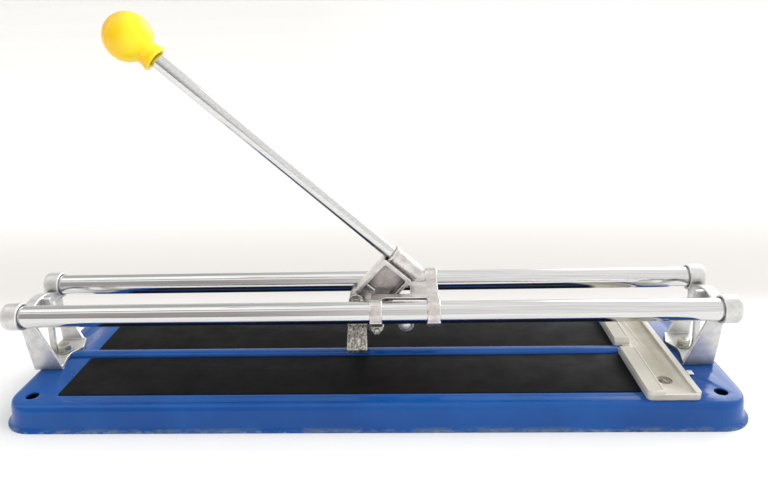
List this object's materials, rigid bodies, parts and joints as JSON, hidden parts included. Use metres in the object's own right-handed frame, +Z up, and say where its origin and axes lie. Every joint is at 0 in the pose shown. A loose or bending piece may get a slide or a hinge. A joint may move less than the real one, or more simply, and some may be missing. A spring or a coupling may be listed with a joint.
{
  "type": "manual tile cutter",
  "caption": "Bench-top score-and-snap tile cutter: railed carriage with a lever, scoring wheel and breaker foot over a padded pressed-steel base with a stop fence.",
  "frame": {"origin": "on the bench plane under the middle of the two rails", "axes": "+X along the rails towards the fence, +Y from the front pad to the rear pad, +Z up"},
  "size_m": [0.5243, 0.1536, 0.2741],
  "materials": {
    "blue_paint": "gloss enamel, worn at the rim",
    "black_rubber": "matte",
    "chrome": "polished",
    "die_cast": "bright die-cast",
    "die_cast_satin": "satin die-cast",
    "zinc_steel": "zinc plated",
    "beige_plastic": "semi-matte, ribbed strip",
    "yellow_plastic": "gloss",
    "hard_steel": "ground rim"
  },
  "bodies": {
    "base": {"base_pan": "blue_paint", "pad_front": "black_rubber", "pad_rear": "black_rubber", "bracket_left": "die_cast", "bracket_right": "die_cast", "bracket_bolt_left": "zinc_steel", "bracket_bolt_right": "zinc_steel", "bracket_washer_left": "zinc_steel", "bracket_washer_right": "zinc_steel", "bracket_nut_left": "zinc_steel", "bracket_nut_right": "zinc_steel", "rail_front": "chrome", "rail_rear": "chrome", "fence": "beige_plastic", "fence_screw_front": "zinc_steel", "fence_screw_rear": "zinc_steel", "fence_nut_front": "zinc_steel", "fence_nut_rear": "zinc_steel"},
    "carriage": {"carriage": "die_cast_satin", "pivot_bolt": "zinc_steel", "pivot_washer_front": "zinc_steel", "pivot_washer_rear": "zinc_steel", "pivot_nut": "zinc_steel"},
    "lever": {"lever": "die_cast_satin", "handle_rod": "chrome", "ball_knob": "yellow_plastic", "foot_pin": "zinc_steel", "foot_clip": "zinc_steel", "wheel_screw": "zinc_steel", "wheel_nut": "zinc_steel"},
    "foot": {"breaker_foot": "die_cast_satin"},
    "wheel": {"scoring_wheel": "hard_steel"}
  },
  "joints": [
    {"name": "carriage_slide", "type": "slide", "parent": "base", "child": "carriage", "axis": [1, 0, 0], "range_m": [-0.205, 0.172]},
    {"name": "lever_pivot", "type": "hinge", "parent": "carriage", "child": "lever", "pos_m": [0.0084, 0, 0.051], "axis": [0, 1, 0], "range_deg": [-27, 8]},
    {"name": "foot_hinge", "type": "hinge", "parent": "lever", "child": "foot", "pos_m": [-0.00713, 0, 0.06513], "axis": [0, 1, 0], "range_deg": [-8.5, 40]},
    {"name": "wheel_spin", "type": "hinge", "parent": "lever", "child": "wheel", "pos_m": [0.02948, 0, 0.0429], "axis": [0, 1, 0], "continuous": true}
  ]
}
